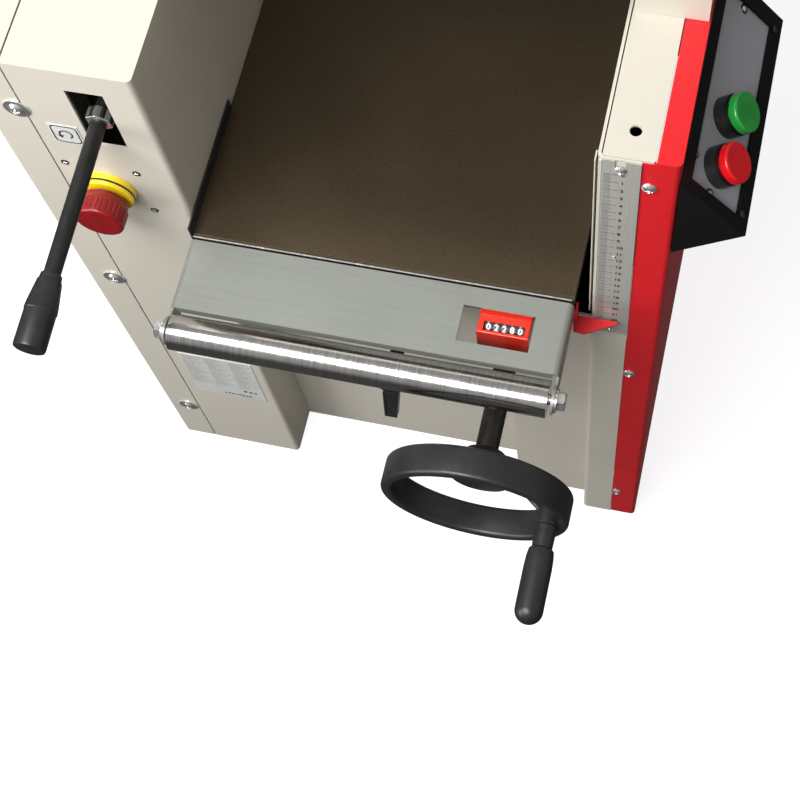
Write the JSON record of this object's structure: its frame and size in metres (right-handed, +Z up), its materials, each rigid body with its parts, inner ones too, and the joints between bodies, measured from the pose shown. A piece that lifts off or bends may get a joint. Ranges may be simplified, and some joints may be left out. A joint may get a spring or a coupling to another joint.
{
  "type": "thickness planer",
  "caption": "Floor-standing thickness planer with a rising table, feed rollers, knife block, hood with dust collar, handwheel, feed lever, height scale and switch box.",
  "frame": {"origin": "centre of the four floor bolt holes, at floor level", "axes": "+Z up, +X to the operator's right, +Y in the feed direction (away from the handwheel)"},
  "size_m": [0.5366, 0.9021, 0.92],
  "materials": {
    "beige_paint": "fine powder coat, satin",
    "red_paint": "gloss powder coat",
    "black_paint": "satin black",
    "grey_casting": "painted casting",
    "ground_iron": "ground and polished top",
    "galvanised": "brushed zinc-plated sheet",
    "bright_steel": "turned bright",
    "chrome": "bright plated",
    "dark_steel": "black oxide",
    "scale_aluminium": "printed satin aluminium",
    "belt_rubber": "matt",
    "black_plastic": "fine moulded texture",
    "counter_red": "moulded",
    "counter_black": "printed digits",
    "collar_yellow": "moulded",
    "stop_red": "moulded",
    "start_green": "moulded",
    "panel_grey": "satin grey",
    "label_white": "printed film"
  },
  "bodies": {
    "root": {"base_frame": "black_paint", "left_column": "beige_paint", "left_side_cover": "beige_paint", "right_column": "beige_paint", "right_top_plate": "beige_paint", "right_side_cover": "red_paint", "front_panel": "beige_paint", "rear_panel": "beige_paint", "head_castings": "grey_casting", "cutter_bearings": "bright_steel", "head_cross_bars": "bright_steel", "hood": "beige_paint", "dust_collar": "black_plastic", "motor": "grey_casting", "drive_belt": "belt_rubber", "feed_chain": "bright_steel", "guide_sleeve": "grey_casting", "lift_nut": "grey_casting", "lever_pivot_bracket": "black_paint", "stop_collar": "collar_yellow", "stop_contact_block": "black_plastic", "control_box": "black_paint", "control_plate": "panel_grey", "button_collars": "black_plastic", "thickness_scale": "scale_aluminium", "front_screws": "chrome", "labels": "label_white"},
    "cutterhead": {"cutter_block": "bright_steel", "planer_knives": "bright_steel", "knife_gibs": "bright_steel"},
    "motor_rotor": {"motor_shaft": "bright_steel"},
    "infeed_float": {"infeed_bearing_blocks": "bright_steel", "infeed_springs": "bright_steel"},
    "infeed_roll": {"infeed_roller": "bright_steel"},
    "outfeed_float": {"outfeed_bearing_blocks": "bright_steel", "outfeed_springs": "bright_steel"},
    "outfeed_roll": {"outfeed_roller": "bright_steel"},
    "kickback_fingers": {"antikickback_fingers": "bright_steel"},
    "table_group": {"table": "ground_iron", "guide_column": "ground_iron", "table_extensions": "galvanised", "roller_bolts": "chrome", "height_pointer": "red_paint", "shaft_brackets": "black_paint", "counter_housing": "counter_red", "counter_drums": "counter_black"},
    "front_roll": {"front_roller": "bright_steel"},
    "rear_roll": {"rear_roller": "bright_steel"},
    "lift_screw_group": {"lift_screw": "bright_steel"},
    "wheel_group": {"handwheel": "black_plastic", "handwheel_shaft": "dark_steel", "crank_spindle": "dark_steel"},
    "crank_grip_body": {"crank_grip": "black_plastic"},
    "counter_drum": {"counter_last_drum": "counter_black"},
    "lever_group": {"feed_lever": "black_paint", "feed_lever_grip": "black_plastic"},
    "emergency_stop": {"emergency_button": "stop_red"},
    "start_push": {"start_button": "start_green"},
    "stop_push": {"stop_button": "stop_red"},
    "lock_group": {"table_lock_lever": "dark_steel"}
  },
  "joints": [
    {"name": "handwheel_turn", "type": "hinge", "parent": "table_group", "child": "wheel_group", "pos_m": [0.135, -0.4, 0.462], "axis": [0, 1, 0], "range_deg": [-732, 19194]},
    {"name": "table_lift", "type": "slide", "parent": "root", "child": "table_group", "axis": [0, 0, 1], "range_m": [-0.0081, 0.2131]},
    {"name": "lift_screw_turn", "type": "hinge", "parent": "table_group", "child": "lift_screw_group", "pos_m": [0.135, -0.06, 0.4], "axis": [0, 0, 1], "range_deg": [-19194, 732]},
    {"name": "counter_drum_turn", "type": "hinge", "parent": "table_group", "child": "counter_drum", "pos_m": [0.146, -0.3148, 0.5035], "axis": [1, 0, 0], "range_deg": [-2928, 76776]},
    {"name": "crank_grip_spin", "type": "hinge", "parent": "wheel_group", "child": "crank_grip_body", "pos_m": [0.19037, -0.48, 0.45813], "axis": [0, 1, 0], "continuous": true},
    {"name": "front_roller_spin", "type": "hinge", "parent": "table_group", "child": "front_roll", "pos_m": [0.0322, -0.367, 0.511], "axis": [1, 0, 0], "continuous": true},
    {"name": "rear_roller_spin", "type": "hinge", "parent": "table_group", "child": "rear_roll", "pos_m": [0.0322, 0.367, 0.511], "axis": [1, 0, 0], "continuous": true},
    {"name": "cutterhead_spin", "type": "hinge", "parent": "root", "child": "cutterhead", "pos_m": [0.03, 0, 0.776], "axis": [1, 0, 0], "continuous": true},
    {"name": "motor_spin", "type": "hinge", "parent": "root", "child": "motor_rotor", "pos_m": [-0.1, 0.15, 0.15], "axis": [1, 0, 0], "continuous": true},
    {"name": "infeed_rise", "type": "slide", "parent": "root", "child": "infeed_float", "axis": [0, 0, 1], "range_m": [0, 0.003], "stiffness_N_per_m": 9000, "springref_m": -0.008, "deforming": ["infeed_springs"]},
    {"name": "infeed_roller_spin", "type": "hinge", "parent": "infeed_float", "child": "infeed_roll", "pos_m": [0.03, -0.068, 0.756], "axis": [1, 0, 0], "continuous": true},
    {"name": "outfeed_rise", "type": "slide", "parent": "root", "child": "outfeed_float", "axis": [0, 0, 1], "range_m": [0, 0.003], "stiffness_N_per_m": 9000, "springref_m": -0.008, "deforming": ["outfeed_springs"]},
    {"name": "outfeed_roller_spin", "type": "hinge", "parent": "outfeed_float", "child": "outfeed_roll", "pos_m": [0.03, 0.068, 0.756], "axis": [1, 0, 0], "continuous": true},
    {"name": "kickback_swing", "type": "hinge", "parent": "root", "child": "kickback_fingers", "pos_m": [0.03, -0.12, 0.786], "axis": [1, 0, 0], "range_deg": [0, 24]},
    {"name": "feed_lever_swing", "type": "hinge", "parent": "root", "child": "lever_group", "pos_m": [-0.157, -0.235, 0.658], "axis": [1, 0, 0], "range_deg": [-28, 18]},
    {"name": "emergency_press", "type": "slide", "parent": "root", "child": "emergency_stop", "axis": [0, 1, 0], "range_m": [0, 0.0035]},
    {"name": "start_press", "type": "slide", "parent": "root", "child": "start_push", "axis": [-0.7547, 0, -0.6561], "range_m": [0, 0.0027], "stiffness_N_per_m": 400, "springref_m": -0.002},
    {"name": "stop_press", "type": "slide", "parent": "root", "child": "stop_push", "axis": [-0.7547, 0, -0.6561], "range_m": [0, 0.0027], "stiffness_N_per_m": 400, "springref_m": -0.002},
    {"name": "table_lock_turn", "type": "hinge", "parent": "root", "child": "lock_group", "pos_m": [0.0325, -0.3, 0.37], "axis": [0, 1, 0], "range_deg": [-30, 60]}
  ],
  "couplings": [
    {"joint": "handwheel_turn", "follows": "table_lift", "rad_per_m": 1570.8},
    {"joint": "lift_screw_turn", "follows": "table_lift", "rad_per_m": -1570.8},
    {"joint": "counter_drum_turn", "follows": "table_lift", "rad_per_m": 6283.2},
    {"joint": "motor_spin", "follows": "cutterhead_spin", "ratio": 0.7},
    {"joint": "outfeed_roller_spin", "follows": "infeed_roller_spin", "ratio": 1}
  ]
}
